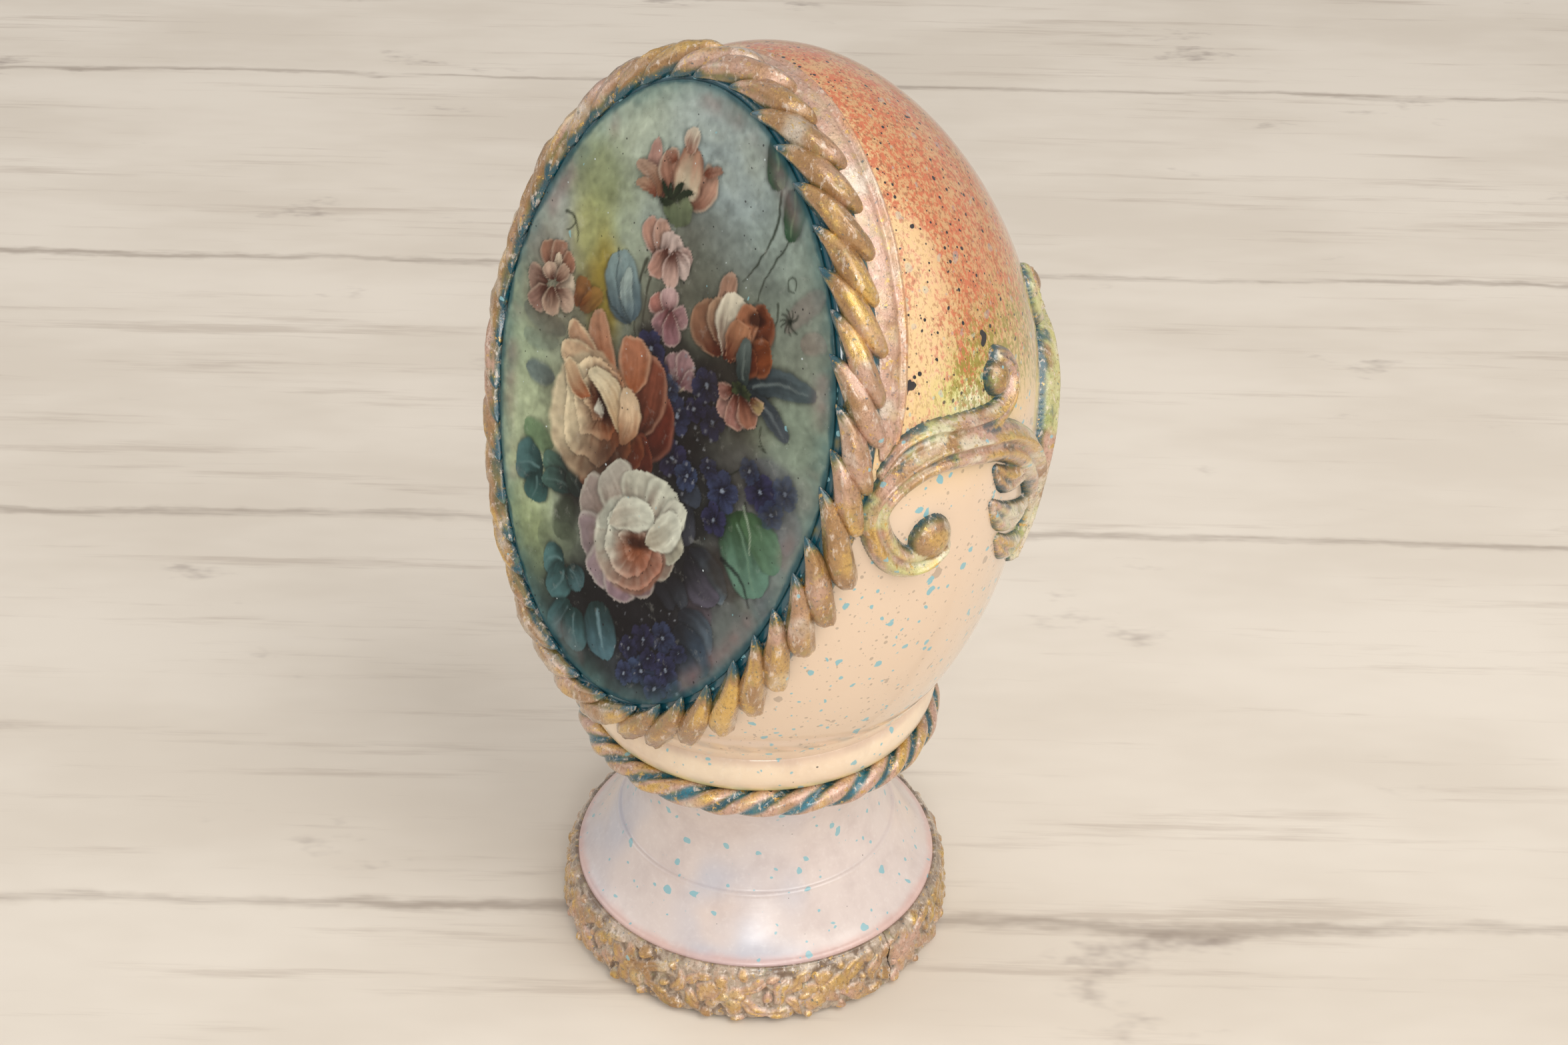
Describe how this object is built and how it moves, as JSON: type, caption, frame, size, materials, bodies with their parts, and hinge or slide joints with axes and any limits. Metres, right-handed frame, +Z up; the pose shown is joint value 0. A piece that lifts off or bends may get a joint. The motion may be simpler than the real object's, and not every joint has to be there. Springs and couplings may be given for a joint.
{
  "type": "decorated egg on stand",
  "caption": "Wooden egg with a flat oval floral picture in a rope frame, scroll castings on its shell, glued to a turned collar and a bell-shaped foot.",
  "frame": {"origin": "centre of the flat face that the foot rests on, on the turning axis", "axes": "+Z up along the turning axis; the flat oval picture faces -Y; +X is to the right of someone who looks at the picture"},
  "size_m": [0.0872, 0.0788, 0.153],
  "materials": {
    "egg_paint": "sponged acrylic paint under gloss varnish",
    "collar_paint": "acrylic paint under gloss varnish",
    "stand_paint": "acrylic paint under gloss varnish",
    "bare_beech": "bare turned beech",
    "print_paper": "printed paper glued to the wood under gloss varnish",
    "rope_bronze": "cast resin, bronze, silver and pink paint over teal, varnished",
    "scroll_pink": "cast resin, pink and olive paint over teal, varnished",
    "band_bronze": "cast resin, bronze and gold paint, varnished"
  },
  "bodies": {
    "root": {"egg_body": "egg_paint", "collar_cup": "collar_paint", "pedestal": "stand_paint", "seat_dowel": "bare_beech", "medallion_print": "print_paper", "frame_rope_left": "rope_bronze", "frame_rope_right": "rope_bronze", "frame_rope_lower": "rope_bronze", "frame_skirt_left": "scroll_pink", "frame_skirt_right": "scroll_pink", "collar_rope": "rope_bronze", "foot_band_front": "band_bronze", "foot_band_back": "band_bronze", "scroll_right_front": "scroll_pink", "scroll_right_back": "scroll_pink", "scroll_left_back": "scroll_pink", "scroll_left_front": "scroll_pink"}
  },
  "joints": []
}
